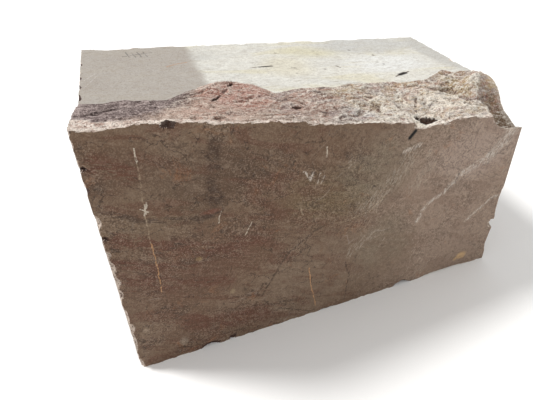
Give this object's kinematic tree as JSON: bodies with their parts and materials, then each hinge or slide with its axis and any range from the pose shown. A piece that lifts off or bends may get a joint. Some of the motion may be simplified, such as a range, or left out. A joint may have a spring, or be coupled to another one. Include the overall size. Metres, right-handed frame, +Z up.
{
  "type": "quarried marble block",
  "caption": "Large saw-cut marble block lying on its base, with a rough broken strip along its front top edge and chipped arrises.",
  "frame": {"origin": "middle of the base in plan, on the surface the block rests on", "axes": "+X along the block's length, -Y out of the long front face that has the rough strip above it, +Z up"},
  "size_m": [1.8689, 1.0113, 1.1391],
  "materials": {
    "marble": "saw-cut and dusty on its faces, rough and crystalline where broken"
  },
  "bodies": {
    "root": {"marble_block": "marble"}
  },
  "joints": []
}
